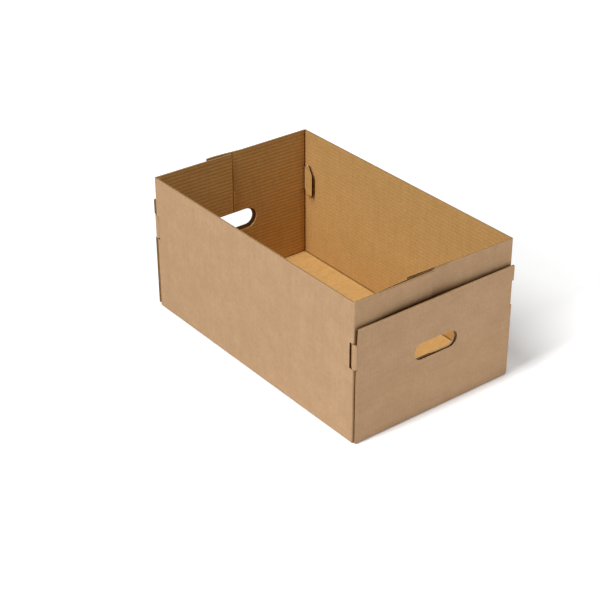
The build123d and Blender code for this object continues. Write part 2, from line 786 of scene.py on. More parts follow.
# Dark crease colour of the corner grooves, darkened as painted shade of those narrow grooves; it is also
# painted shade on the cut edges of the ears' openings and the walls' scored foot, round the panels' hand
# holes and in the ears' crevices.
CREASE_SHADE = RawPaper("pressed_crease_and_painted_shade", (0.200, 0.088, 0.020), (0.250, 0.115, 0.028))
# Darker kraft of scores and crushed folds, which also serves as painted shade in the bottom creases and along
# the seam.
SCORE_AND_SHADE = RawPaper("scored_crease_and_painted_shade", (0.320, 0.165, 0.045), (0.380, 0.205, 0.062))
# Painted shade: near-black brown for the panels' cut edges round the hand holes, in place of the cut-edge
# colour, as they look in the gap's shade.
PANEL_RIM_SHADE = RawPaper("panel_rim_painted_shade", (0.270, 0.100, 0.016), (0.320, 0.125, 0.022))
# Painted highlight: pale dots on the flute ridges beside the seam, standing in for light on flute ends.
RIDGE_HIGHLIGHT = RawPaper("ridge_painted_highlight", (0.740, 0.530, 0.240), (0.800, 0.590, 0.290))
# Painted shade: near-black brown on the liners' glued sides, the lapped rim, the ears' nose ends and the
# panels' side wedges, where hollows and gaps lie in shade.
PAINTED_SHADE = RawPaper("painted_shade_glue_side", (0.120, 0.048, 0.013), (0.160, 0.067, 0.019))


@dataclass
class Papers:
    """The finishes of one sheet of board."""

    grain: Grain
    flute_start: float
    tag: str
    inner_tone: Colour = (0.585, 0.352, 0.136)
    flute_show: float = 0.30
    outer: Finish = field(init=False)
    inner: Finish = field(init=False)
    fluting: Finish = field(init=False)
    cut_edge: Finish = field(init=False)
    # crease colour that is also painted shade in grooves and recesses
    crease_and_shade: Finish = field(init=False)
    # painted shade for the liners' glued sides and other faces in gaps
    shade_paint: Finish = field(init=False)

    def __post_init__(self) -> None:
        """Make the materials of the three papers, of their edges and creases, and the painted shade of their
        glued sides.
        """
        self.outer = KraftPaper(
            name=f"outer_liner_{self.tag}", colour=(0.456, 0.291, 0.166), pale=(0.488, 0.318, 0.186),
            dark=(0.388, 0.238, 0.128), fleck=(0.270, 0.160, 0.085), grain=self.grain, flute_show=0.10,
            end_shade=0.10, flute_start=self.flute_start + Board.pitch / 2).material()
        self.inner = KraftPaper(
            name=f"inner_liner_{self.tag}", colour=self.inner_tone, pale=(0.615, 0.374, 0.150),
            dark=(0.462, 0.256, 0.070), fleck=(0.350, 0.190, 0.080), grain=self.grain,
            flute_show=self.flute_show, end_shade=0.88, flute_start=self.flute_start).material()
        self.fluting = FLUTING.material()
        self.cut_edge = CUT_EDGE.material()
        self.crease_and_shade = CREASE_SHADE.material()
        self.shade_paint = PAINTED_SHADE.material()

    def of(self, layer: Layer) -> Finish:
        """The finish of one of the three papers."""
        finishes = {Layer.OUTER_LINER: self.outer, Layer.INNER_LINER: self.inner}
        return finishes.get(layer, self.fluting)


@dataclass
class Cutters:
    """Closed tools that cut openings in the board, and leave their finish on the cut edges."""

    edge: Finish
    made: list[Thing] = field(default_factory=list)
    round_share: float = 0.999
    round_segments: int = 14

    def box(self, along: Span, across: Span, up: Span) -> Thing:
        """Add a box cutter.

        Args:
            along: Its stretch along X.
            across: Its stretch along Y.
            up: Its stretch along Z.

        Returns:
            The cutter.
        """
        low, high = (Vector(corner) for corner in zip(along, across, up))
        bpy.ops.mesh.primitive_cube_add(size=1.0)
        tool = bpy.context.object
        tool.location = (low + high) / 2
        tool.scale = high - low
        settle(tool)
        tool.data.materials.append(self.edge)
        self.made.append(tool)
        return tool

    def slot(self, along: Span, across: Span, up: Span) -> None:
        """Add a round-ended bar along X, for a hand hole.

        Args:
            along: Its stretch along X.
            across: Its stretch along Y.
            up: Its stretch along Z.
        """
        tool = self.box(along, across, up)
        radius = (up[1] - up[0]) / 2
        with edit_mode(tool):
            pick_edges(tool, lambda start, end:
                       abs(end.x - start.x) > hypot(end.y - start.y, end.z - start.z))
            bpy.ops.mesh.bevel(offset=radius * self.round_share, segments=self.round_segments, affect="EDGES")
            turn_outwards()

    def sloped(self, along: Span, across: Span, up: Span, edge: Spot, move: Vector) -> None:
        """Add a box cutter with one of its edges moved, for a slanted cut.

        Args:
            along: Its stretch along X.
            across: Its stretch along Y.
            up: Its stretch along Z.
            edge: Test for the two corners to move.
            move: How far they move.
        """
        tool = self.box(along, across, up)
        with edit_mode(tool):
            pick_points(tool, edge)
            bpy.ops.transform.translate(value=move)
            turn_outwards()

    def apply(self, pieces: Sequence[Thing], keep_inside: bool = False) -> None:
        """Cut pieces with all the tools together, and throw the tools away.

        Args:
            pieces: Closed meshes to cut.
            keep_inside: Whether to keep what lies inside the tools instead.
        """
        tool = join(self.made, "cutter")
        for piece in pieces:
            cut(piece, tool, keep_inside)
        bpy.data.objects.remove(tool, do_unlink=True)
        self.made.clear()


@dataclass
class FoldedSheet:
    """Sheet of board carried along a fold path, as three closed papers."""

    name: str
    path: FoldPath
    across: Vector
    low: float
    high: float
    flute_start: float
    papers: Papers
    flat: bool = False
    groove: float = 0.0
    groove_reach: float = 0.00096
    crush: Place = (0.2, 0.2, 1.0)
    crush_depth: float = 0.0005
    crush_slack: float = 0.03
    board: Board = field(default_factory=Board)

    def build(self) -> Sheets:
        """Make the sheet's papers."""
        return {layer: self.paper(layer) for layer in Layer}

    def paper(self, layer: Layer) -> Thing:
        """Make one paper: a section strip, waved, then swept along the path.

        Args:
            layer: Paper to make.

        Returns:
            Its object.
        """
        sway = self.board.swing if self.flat and layer is Layer.FLUTING else 0.0
        piece = self.sweep(self.section(layer), self.papers.of(layer), sway)
        self.press_creases(piece, layer)
        if layer is not Layer.FLUTING:
            self.paint_glue_side_shade(piece, layer)
        self.bare_edges(piece)
        return piece

    def core(self, low: float, high: float, finish: Finish) -> Thing:
        """Make a band of the space between the liners as one closed solid, for a crushed edge.

        Args:
            low: Where the band starts across the sheet.
            high: Where it ends.
            finish: What it is made of.

        Returns:
            Its object.
        """
        depths = (self.board.liner, self.board.thickness - self.board.liner)
        piece = self.sweep(self.strip("core", depths, low, high - low, 1), finish, 0.0)
        self.press_creases(piece, Layer.FLUTING)
        return piece

    def sweep(self, strip: Thing, finish: Finish, sway: float) -> Thing:
        """Carry a flat strip along the path.

        Args:
            strip: Section of a paper.
            finish: What its faces are made of.
            sway: How far it swings to each side on the long runs, or nothing.

        Returns:
            The strip's object, now a closed sheet.
        """
        strip.matrix_world = self.path.frame_at_start(self.across)
        settle(strip)
        for material in (finish, self.papers.cut_edge, self.papers.crease_and_shade, self.papers.shade_paint):
            strip.data.materials.append(material)
        with edit_mode(strip):
            for stage in self.path.stages(sway):
                stage.carry()
            turn_outwards()
        return strip

    def press_creases(self, piece: Thing, layer: Layer) -> None:
        """Press creases into the board at its folds: the inner liner dips, the fluting is crushed.

        Args:
            piece: Paper of the sheet.
            layer: Which paper it is.
        """
        if self.groove > 0.0:
            for index in self.path.folds:
                self.press_crease(piece, layer, index)

    def press_crease(self, piece: Thing, layer: Layer, index: int) -> None:
        """Press a crease into the board at one of its folds.

        Args:
            piece: Paper of the sheet.
            layer: Which paper it is.
            index: Point of the path that the fold is at.
        """
        bend = self.path.bend_at(index)
        out = self.path.bisector(index)
        fold = self.path.radii[index - 1]
        spread = cos(abs(bend.angle) / 2 + self.crush_slack)

        def from_centre(at: Vector) -> Vector:
            """Place of a point beside the axis of the fold."""
            offset = at - bend.centre
            return offset - bend.axis * offset.dot(bend.axis)

        def in_fold(at: Vector) -> bool:
            """Whether a point lies in the bent part of the board."""
            offset = from_centre(at)
            return offset.length < fold and offset.normalized().dot(out) > spread

        with edit_mode(piece):
            if layer is Layer.INNER_LINER:
                pick_points(piece, lambda at: from_centre(at).length < self.groove_reach)
                bpy.ops.transform.translate(value=out * self.groove)
                bpy.ops.mesh.select_more()
                # the groove and the faces next to it take the dark crease colour, partly painted shade of the
                # narrow groove
                finish_picked(piece, Coat.SHADED_CREASE)
            if layer is Layer.FLUTING:
                pick_points(piece, in_fold)
                middle = bend.centre + out * (fold - self.crush_depth)
                bpy.ops.transform.resize(value=self.crush, center_override=middle)

    def paint_glue_side_shade(self, piece: Thing, layer: Layer) -> None:
        """Give the side of a liner that faces the flutes painted shade, a near-black brown that stands for
        the dark of the hollows there.

        Args:
            piece: Liner of the sheet.
            layer: Which liner it is.
        """
        path = self.path
        inwards = 1.0 if layer is Layer.OUTER_LINER else -1.0

        def is_hidden(middle: Vector, normal: Vector) -> bool:
            """Whether a face of a straight stretch looks at the flutes."""
            for index in range(len(path.points) - 1):
                offset = middle - path.place(path.points[index])
                left = path.place(path.left(index))
                on_board = 0.0 <= offset.dot(left) <= self.board.thickness
                on_run = 0.0 <= offset.dot(path.place(path.heading(index))) <= path.leg(index).length
                if on_board and on_run and normal.dot(left) * inwards > SQUARE_ON:
                    return True
            return False

        with edit_mode(piece):
            pick_faces(piece, is_hidden)
            finish_picked(piece, Coat.HIDDEN)

    def section(self, layer: Layer) -> Thing:
        """Make the flat section strip of a paper, with X as its depth and Y across the sheet.

        Args:
            layer: Paper to make.

        Returns:
            The strip's object.
        """
        depths = self.board.depths(layer)
        if self.flat:
            return self.strip(layer.value, depths, self.low, self.high - self.low, 1)
        count = self.board.rows(layer)
        row = self.board.pitch / count
        rows = ceil((self.high - self.flute_start) / row)
        strip = self.strip(layer.value, depths, self.flute_start, row, rows)
        self.wave(strip, layer, row, count)
        return strip

    def strip(self, tag: str, depths: Span, start: float, row: float, rows: int) -> Thing:
        """Add a flat strip of rows of faces.

        Args:
            tag: End of its name.
            depths: Depth of its outer and inner sides.
            start: Where its first row starts across the sheet.
            row: Spacing of its rows.
            rows: Number of its rows.

        Returns:
            The strip's object.
        """
        outer, inner = depths
        bpy.ops.mesh.primitive_grid_add(x_subdivisions=1, y_subdivisions=rows, size=1.0)
        strip = bpy.context.object
        strip.name = f"{self.name}_{tag}"
        strip.scale = (inner - outer, rows * row, 1.0)
        strip.location = ((outer + inner) / 2, start + rows * row / 2, 0.0)
        settle(strip)
        return strip

    def wave(self, strip: Thing, layer: Layer, row: float, count: int) -> None:
        """Push a strip's rows into the wave of its paper, and trim it to the sheet's edges.

        Args:
            strip: Flat strip.
            layer: Paper that it becomes.
            row: Spacing of its rows.
            count: Rows in each flute.
        """
        with edit_mode(strip):
            for place in range(count):
                shift = self.board.wave(layer, place / count)
                if abs(shift) > SLIVER:
                    pick_points(strip, lambda at: self.row_of(at, row) % count == place)
                    bpy.ops.transform.translate(value=(shift, 0.0, 0.0))
            for edge, way in ((self.low, -1.0), (self.high, 1.0)):
                bpy.ops.mesh.select_all(action="SELECT")
                bpy.ops.mesh.bisect(plane_co=(0.0, edge, 0.0), plane_no=(0.0, way, 0.0), clear_outer=True)

    def row_of(self, at: Vector, row: float) -> int:
        """Number of the row that a point of the strip lies on."""
        return round((at.y - self.flute_start) / row)

    def bare_edges(self, piece: Thing) -> None:
        """Give the cut-edge finish to the faces at the sheet's rims and at both ends of its path.

        Args:
            piece: Paper of the sheet.
        """
        path = self.path
        ends = [(path.place(path.points[index]), path.place(path.heading(leg)))
                for index, leg in ((0, 0), (-1, len(path.points) - 2))]

        def is_cut(middle: Vector, normal: Vector) -> bool:
            """Whether a face is at a rim or an end."""
            inside = self.low + SLIVER < middle.dot(self.across) < self.high - SLIVER
            if abs(normal.dot(self.across)) > SQUARE_ON and not inside:
                return True
            return any(abs((middle - place).dot(way)) < SLIVER and abs(normal.dot(way)) > SQUARE_ON
                       for place, way in ends)

        with edit_mode(piece):
            pick_faces(piece, is_cut)
            finish_picked(piece, Coat.CUT_EDGE)


@dataclass(frozen=True)
class Pull:
    """A gentle pull that takes part of a sheet out of its plane, with what lies round it."""

    low: Place
    high: Place
    shift: Place
    reach: float

    def holds(self, at: Vector) -> bool:
        """Whether a point moves the whole way."""
        return all(low <= value <= high for low, value, high in zip(self.low, at, self.high))

    def apply(self, piece: Thing) -> None:
        """Pull a paper, dying away with distance from the points that move the whole way.

        Args:
            piece: Paper to bend.
        """
        with edit_mode(piece):
            pick_points(piece, self.holds)
            bpy.ops.transform.translate(value=self.shift, use_proportional_edit=True,
                                        proportional_edit_falloff="SMOOTH", proportional_size=self.reach)


NEAR_BOW = Pull((0.24, -0.060, 0.175), (0.26, 0.000, 0.200), (-0.0036, 0.0, 0.0), 0.080)
FAR_BOW = Pull((0.23, -0.060, 0.175), (0.26, 0.000, 0.200), (-0.0014, 0.0, 0.0), 0.080)
CORNER_LIFT = Pull((-0.26, -0.060, 0.233), (-0.24, -0.020, 0.240), (-0.0034, 0.0, 0.0006), 0.055)
PANEL_LEAN = Pull((0.25, -0.16, 0.190), (0.26, 0.16, 0.200), (0.0014, 0.0, -0.0010), 0.100)


def hand_over(piece: Thing, name: str, sharp: float = 35.0) -> None:
    """Finish a piece's shading and give it to the frame.

    Args:
        piece: Finished mesh.
        name: Name of the piece.
        sharp: Angle in degrees above which an edge stays sharp.
    """
    take_alone(piece)
    bpy.ops.object.shade_smooth_by_angle(angle=radians(sharp))
    piece.name = name
    piece.data.name = name
    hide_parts("tray")
    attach(piece, "root")
    log.info("%s: %d faces", name, len(piece.data.polygons))


@dataclass(frozen=True)
class TraySizes:
    """Sizes that the sheets of the tray share."""

    board: float = Board.thickness
    fold: float = 0.0033
    half_length: float = 0.2500
    half_width: float = 0.1522
    height: float = 0.2353
    flap_floor: float = 0.0036
    near_free_edge: float = -0.0042
    far_free_edge: float = -0.0478
    left_near_end: float = -0.247802
    left_far_end: float = -0.25175
    right_far_end: float = 0.244118
    trough_end: float = 0.2484
    panel_face: float = 0.2552
    panel_top: float = 0.1943
    panel_side: float = 0.1515
    foot_side: float = 0.1483
    foot_start: float = 0.2490
    foot_rise: float = 0.0014
    hole_half: float = 0.0415
    right_hole: Span = (0.0980, 0.1260)
    left_hole: Span = (0.0925, 0.1225)
    hole_rim: float = 0.0008
    ear_low: float = 0.1270
    ear_high: float = 0.1680
    ear_slit: float = 0.0006
    ear_fold: float = 0.1477
    opening_edge: float = 0.2418
    opening_deep: float = 0.14743
    score_top: float = 0.0046
    score_side: float = 0.1480
    rim_low: float = 0.0015
    rim_high: float = 0.0002
    toe_low: float = 0.0003
    toe_high: float = 0.0016
    hollow_side: float = 0.0034
    # reach of the painted shade round the panels' hand holes
    hole_shade_half: float = 0.0550
    hole_shade_low: float = 0.0800
    hole_shade_high: float = 0.1400
    clear: float = 0.005
    long_parts: tuple[int, int, int] = (12, 18, 12)

    @property
    def ear_opening(self) -> Span:
        """Stretch up the tray that the openings for the ears take."""
        return self.ear_low - self.ear_slit, self.ear_high + self.ear_slit

    def rim_band(self, top: float) -> Span:
        """Stretch of the crushed band under an upper edge."""
        return top - self.rim_low, top - self.rim_high


class PaperPart:
    """Part of the tray that is made of three papers, with hand holes."""

    name: str
    sizes: TraySizes

    def add_slots(self, cutters: Cutters, rim: float) -> None:
        """Add the cutters of the part's hand holes."""
        raise NotImplementedError

    def rings(self, sheet: FoldedSheet, finish: Finish, inset: float) -> Thing:
        """Make the crushed edges round the hand holes.

        Args:
            sheet: The part's sheet.
            finish: What they are made of.
            inset: How far they stand back from the hole.

        Returns:
            Their object.
        """
        rings = sheet.core(sheet.low, sheet.high, finish)
        cutters = Cutters(finish)
        self.add_slots(cutters, self.sizes.hole_rim)
        cutters.apply([rings], keep_inside=True)
        self.add_slots(cutters, inset)
        cutters.apply([rings])
        return rings

    def dress(self, made: Sheets) -> None:
        """Hand the papers over to the frame."""
        for layer, piece in made.items():
            hand_over(piece, f"{self.name}_{layer.value}")


@dataclass(frozen=True)
class HandCut:
    """Cut behind the hand holes in both flaps of a long wall, open to the flaps' free edges."""

    across: Span
    low: float
    high: float
    left_drop: float = 0.0


@dataclass(frozen=True)
class Seam:
    """Painted light on a left flap along the edge of the other flap: a line of painted shade for the gap at
    that edge, and painted highlights on the flute ridges beside it.
    """

    start: float = -0.0025
    middle: float = 0.0008
    end: float = 0.0024
    highlight_top: float = 0.1640
    highlight_phase: float = 0.25
    side: float = -0.24
    reach: Span = (-0.03, 0.03)


@dataclass
class LongWall(PaperPart):
    """Long wall with the end flaps that carry on round its two corners."""

    name: str
    sizes: TraySizes
    points: tuple[Point, ...]
    hand_cut: HandCut
    side: Side
    pulls: tuple[Pull, ...]
    seam: Optional[Seam] = None
    lap: Optional[Span] = None
    lap_side: float = 0.23
    flap_reach: Span = (0.235, 0.265)
    flute_start: float = -0.0010
    shoulder: float = 0.0010
    groove: float = 0.0014

    def build(self) -> Sheets:
        """Make the wall's papers and cut the hand holes and the openings for the ears.

        Returns:
            The object of each paper.
        """
        sizes = self.sizes
        papers = Papers(Grain.UPRIGHT, self.flute_start, self.name)
        path = FoldPath(self.points, (sizes.fold, sizes.fold), sizes.long_parts, shoulder=self.shoulder)
        sheet = FoldedSheet(self.name, path, UP, sizes.flap_floor, sizes.height, self.flute_start, papers,
                            groove=self.groove)
        made = sheet.build()
        pieces = list(made.values())
        cutters = Cutters(papers.cut_edge)
        self.add_slots(cutters, 0.0)
        cutters.apply(pieces)
        # The fluting is crushed at the folds, and the cut for the ears' openings, which goes through them,
        # leaves nothing of it. The finished wall holds only the bands that are joined to it below.
        # the cut faces of the ears' openings and of the scored strip at the foot take the dark crease colour
        # as painted shade
        cutters = Cutters(papers.crease_and_shade)
        for end in ENDS:
            cutters.box(span(end, sizes.opening_edge, sizes.half_length + sizes.board),
                        span(self.side.value, sizes.opening_deep, sizes.half_width + sizes.board),
                        sizes.ear_opening)
        cutters.apply(pieces)
        cutters.box(WHOLE_LENGTH, WHOLE_WIDTH, (0.0, sizes.score_top))
        cutters.apply([made[Layer.INNER_LINER]])
        # the flaps' hole rims take the pale crushed paper, partly painted light
        rings = self.rings(sheet, CRUSHED_EDGE_LIGHT.material(), 0.0)
        crown = sheet.core(*sizes.rim_band(sizes.height), papers.fluting)
        toe = sheet.core(sizes.flap_floor - sizes.toe_low, sizes.flap_floor + sizes.toe_high,
                         SCORE_AND_SHADE.material())
        join([made[Layer.FLUTING], rings, crown, toe], made[Layer.FLUTING].name)
        if self.seam:
            self.mark_seam(made[Layer.INNER_LINER], self.seam)
        # painted shade on the lapped part of the rim
        if self.lap:
            self.paint_lap_shade(made[Layer.OUTER_LINER], self.lap)
            self.paint_lap_shade(made[Layer.FLUTING], self.lap)
        for pull in self.pulls:
            for piece in pieces:
                pull.apply(piece)
        return made

    def paint_lap_shade(self, piece: Thing, lap: Span) -> None:
        """Give the rim of the right flap painted shade where the other flap laps over it, for the dark gap
        between them.

        Args:
            piece: Paper of the wall.
            lap: Stretch across the tray that is lapped.
        """
        top = self.sizes.height - 2 * self.sizes.rim_high

        def is_lapped(at: Vector, normal: Vector) -> bool:
            """Whether a face is on the lapped part of the rim."""
            on_rim = at.z > top and normal.z > SQUARE_ON
            return on_rim and at.x > self.lap_side and lap[0] < at.y < lap[1]

        with edit_mode(piece):
            pick_faces(piece, is_lapped)
            finish_picked(piece, Coat.HIDDEN)

    def mark_seam(self, liner: Thing, seam: Seam) -> None:
        """Paint shade on the left flap along the edge of the other flap, with painted highlights on the flute
        ridges lower down.

        Args:
            liner: Inner liner of the wall.
            seam: Where the marks are.
        """

        def on_mark(at: Vector, start: float, end: float) -> bool:
            """Whether a face of the left flap lies between two places across it."""
            return at.x < seam.side and start < at.y < end

        def is_highlit(at: Vector) -> bool:
            """Whether a face lies off the hollow of a flute, low enough to take the painted highlight."""
            phase = (at.z - self.flute_start) / Board.pitch % 1.0
            return at.z < seam.highlight_top and phase > seam.highlight_phase

        with edit_mode(liner):
            for place in (seam.start, seam.middle, seam.end):
                pick_faces(liner, lambda at, normal: on_mark(at, *seam.reach))
                bpy.ops.mesh.bisect(plane_co=(0.0, place, 0.0), plane_no=ACROSS)
            pick_faces(liner, lambda at, normal: on_mark(at, seam.middle, seam.end))
            bpy.ops.mesh.bisect(plane_co=(0.0, 0.0, seam.highlight_top), plane_no=UP)
            # painted shade for the gap along the other flap's edge
            pick_faces(liner, lambda at, normal: on_mark(at, seam.start, seam.middle) and normal.x > HALF_ON)
            finish_anew(liner, SCORE_AND_SHADE.material())
            # painted highlights on the flute ridges lower down
            pick_faces(liner, lambda at, normal: on_mark(at, seam.middle, seam.end) and normal.x > HALF_ON
                       and is_highlit(at))
            finish_anew(liner, RIDGE_HIGHLIGHT.material())

    def add_slots(self, cutters: Cutters, rim: float) -> None:
        """Add the cutters of the hand holes in both flaps.

        Args:
            cutters: Tools to add them to.
            rim: How much larger they are all round.
        """
        hole = self.hand_cut
        near, far = hole.across
        for end, drop in zip(ENDS, (hole.left_drop, 0.0)):
            cutters.slot(span(end, *self.flap_reach), (near - rim, far + rim),
                         (hole.low - drop - rim, hole.high + rim))


@dataclass
class Base(PaperPart):
    """Bottom of the tray with the end panels folded up from it, and its creases to the long walls."""

    sizes: TraySizes
    lean: Pull
    name: str = "base"
    flute_start: float = -0.1530
    inner_tone: Colour = (0.585, 0.359, 0.139)
    flute_show: float = 0.18
    ring_inset: float = 0.0002
    web: tuple[Span, Span, Span] = ((0.2450, 0.2496), (0.1470, 0.1512), (0.0006, 0.0034))
    web_round: float = 0.0022
    web_segments: int = 4
    panel_reach: Span = (0.006, 0.004)
    below: float = -0.002
    bottom_top: float = 0.005
    foot_reach: float = 0.010
    score: Span = (0.0022, 0.0060)
    hollow_low: float = 0.006
    hollow_above: float = 0.010
    wedge: tuple[Span, Span] = ((0.2490, 0.2600), (-0.1560, -0.1512))
    wedge_above: float = 0.004
    wedge_run: float = 0.0018
    crease_board: float = 0.0016

    def build(self) -> Sheets:
        """Make the base's papers, cut its feet, hand holes and ear slits, and add the long creases.

        Returns:
            The object of each paper.
        """
        sizes = self.sizes
        papers = Papers(Grain.CROSSWAYS, self.flute_start, self.name, self.inner_tone, self.flute_show)
        face = sizes.panel_face
        points = ((-face, sizes.panel_top), (-face, 0.0), (face, 0.0), (face, sizes.panel_top))
        path = FoldPath(points, (sizes.fold, sizes.fold), sizes.long_parts, second=UP.copy())
        sheet = FoldedSheet(self.name, path, ACROSS, -sizes.panel_side, sizes.panel_side, self.flute_start,
                            papers)
        made = sheet.build()
        pieces = list(made.values())
        self.cut_sides(Cutters(papers.cut_edge), pieces)
        self.cut_feet(Cutters(papers.cut_edge), pieces)
        self.cut_back(Cutters(papers.cut_edge), made)
        # the panels' hole rims take painted shade
        edges = [self.crown(sheet), self.rings(sheet, PANEL_RIM_SHADE.material(), self.ring_inset)]
        join([made[Layer.FLUTING], *edges, *self.webs()], made[Layer.FLUTING].name)
        self.paint_hole_shade(made[Layer.INNER_LINER])
        for piece in pieces:
            self.lean.apply(piece)
        creases = [self.crease(side, papers) for side in Side]
        return {layer: join([made[layer], *(crease[layer] for crease in creases)], made[layer].name)
                for layer in Layer}

    def paint_hole_shade(self, inner: Thing) -> None:
        """Give the inner liner of the panels painted shade round the hand holes, where the recess behind the
        flaps lies in shade.

        Args:
            inner: Inner liner of the base.
        """
        sizes = self.sizes

        def is_by_hole(at: Vector, normal: Vector) -> bool:
            """Whether a face of a panel is near its hand hole."""
            on_panel = abs(at.x) > sizes.half_length and abs(at.y) < sizes.hole_shade_half
            return on_panel and sizes.hole_shade_low < at.z < sizes.hole_shade_high

        with edit_mode(inner):
            pick_faces(inner, is_by_hole)
            finish_picked(inner, Coat.SHADED_CREASE)

    def crown(self, sheet: FoldedSheet) -> Thing:
        """Make the crushed edges along the tops of the panels.

        Args:
            sheet: The base's sheet.

        Returns:
            Their object.
        """
        sizes = self.sizes
        side = sizes.panel_side - sizes.hollow_side
        crown = sheet.core(-side, side, sheet.papers.fluting)
        cutters = Cutters(sheet.papers.fluting)
        for end in ENDS:
            cutters.box(self.panel_span(end), (-sizes.half_width, sizes.half_width),
                        sizes.rim_band(sizes.panel_top))
        cutters.apply([crown], keep_inside=True)
        return crown

    def webs(self) -> list[Thing]:
        """Make the scored webs that close the bottom corners under the folds of the long walls.

        Returns:
            The web of each corner.
        """
        web = Cutters(SCORE_AND_SHADE.material()).box(*self.web)
        middle = [sum(stretch) / 2 for stretch in self.web]

        def is_outer(start: Vector, end: Vector) -> bool:
            """Whether an edge is the upright one at the tray's corner."""
            return all(at.x > middle[0] and at.y > middle[1] for at in (start, end))

        with edit_mode(web):
            pick_edges(web, is_outer)
            bpy.ops.mesh.bevel(offset=self.web_round, segments=self.web_segments, affect="EDGES")
            turn_outwards()
        return [web, *at_other_corners(web)]

    def panel_span(self, end: float) -> Span:
        """Stretch along the tray that holds the panel at one end."""
        inwards, outwards = self.panel_reach
        return span(end, self.sizes.panel_face - inwards, self.sizes.panel_face + outwards)

    def add_slots(self, cutters: Cutters, rim: float) -> None:
        """Add the cutters of the hand holes in both panels.

        Args:
            cutters: Tools to add them to.
            rim: How much larger they are all round.
        """
        side = self.sizes.hole_half + rim
        for end, (low, high) in zip(ENDS, (self.sizes.left_hole, self.sizes.right_hole)):
            cutters.slot(self.panel_span(end), (-side, side), (low - rim, high + rim))

    def cut_sides(self, cutters: Cutters, pieces: Sequence[Thing]) -> None:
        """Cut the bottom to the creases, and the panels for their ears and hand holes.

        Args:
            cutters: Tools to use.
            pieces: Papers to cut.
        """
        sizes = self.sizes
        outside = sizes.half_width + sizes.clear
        for side in Side:
            cutters.box((-sizes.foot_start, sizes.foot_start),
                        span(side.value, sizes.half_width - sizes.fold, outside),
                        (self.below, self.bottom_top))
            for end in ENDS:
                cutters.box(self.panel_span(end), span(side.value, sizes.ear_fold, outside),
                            sizes.ear_opening)
        self.add_slots(cutters, 0.0)
        cutters.apply(pieces)

    def cut_feet(self, cutters: Cutters, pieces: Sequence[Thing]) -> None:
        """Cut the panels' lower corners back, with a slope up to their sides.

        Args:
            cutters: Tools to use.
            pieces: Papers to cut.
        """
        sizes = self.sizes
        for side in Side:
            for end in ENDS:
                cutters.sloped(span(end, sizes.foot_start, sizes.panel_face + self.panel_reach[1]),
                               span(side.value, sizes.foot_side, sizes.foot_side + self.foot_reach),
                               (self.below, sizes.foot_rise), self.outer_top(side), UP * self.foot_reach)
        cutters.apply(pieces)

    def outer_top(self, side: Side) -> Spot:
        """Test for the upper outer corners of a foot cutter."""
        middle = self.sizes.foot_side + self.foot_reach / 2
        return lambda at: side.value * at.y > middle and at.z > 0.0

    def cut_back(self, cutters: Cutters, made: Sheets) -> None:
        """Draw the papers back where the board is scored, its side edges are hollow or its corner is trimmed.

        Args:
            cutters: Tools to use.
            made: The object of each paper.
        """
        sizes = self.sizes
        outside = sizes.half_width + sizes.clear
        for side in Side:
            cutters.box((-sizes.foot_start, sizes.foot_start), span(side.value, sizes.score_side, outside),
                        self.score)
        cutters.apply([made[Layer.INNER_LINER]])
        for side in Side:
            hollow = span(side.value, sizes.panel_side - sizes.hollow_side, outside)
            for end in ENDS:
                cutters.box(self.panel_span(end), hollow,
                            (self.hollow_low, sizes.panel_top + self.hollow_above))
        cutters.apply([made[Layer.FLUTING]])
        # the wedge's cut faces take painted shade, for the dark gap between the panel's side and the wall's
        # corner
        cutters.edge = PAINTED_SHADE.material()
        middle = sum(self.wedge[1]) / 2
        cutters.sloped(*self.wedge, (sizes.ear_high, sizes.panel_top + self.wedge_above),
                       lambda at: at.y > middle and at.z > sizes.panel_top, ACROSS * self.wedge_run)
        cutters.apply(list(made.values()))

    def crease(self, side: Side, papers: Papers) -> Sheets:
        """Make the long crease that joins the bottom to a long wall.

        Args:
            side: Which long wall.
            papers: Finishes of the base.

        Returns:
            The object of each paper.
        """
        sizes = self.sizes
        wall = sizes.half_width
        points = ((wall - sizes.fold, 0.0), (wall, 0.0), (wall, sizes.flap_floor))
        path = FoldPath(points, (sizes.fold,), (1, 1), first=ACROSS * side.value, second=UP.copy())
        end = sizes.trough_end
        crushed = Board(thickness=self.crease_board)
        made = FoldedSheet("crease", path, ALONG, -end, end, -end, papers, flat=True, board=crushed).build()
        # the crease's inner liner is darker as a score and as painted shade of the narrow fold
        made[Layer.INNER_LINER].data.materials[0] = SCORE_AND_SHADE.material()
        return made


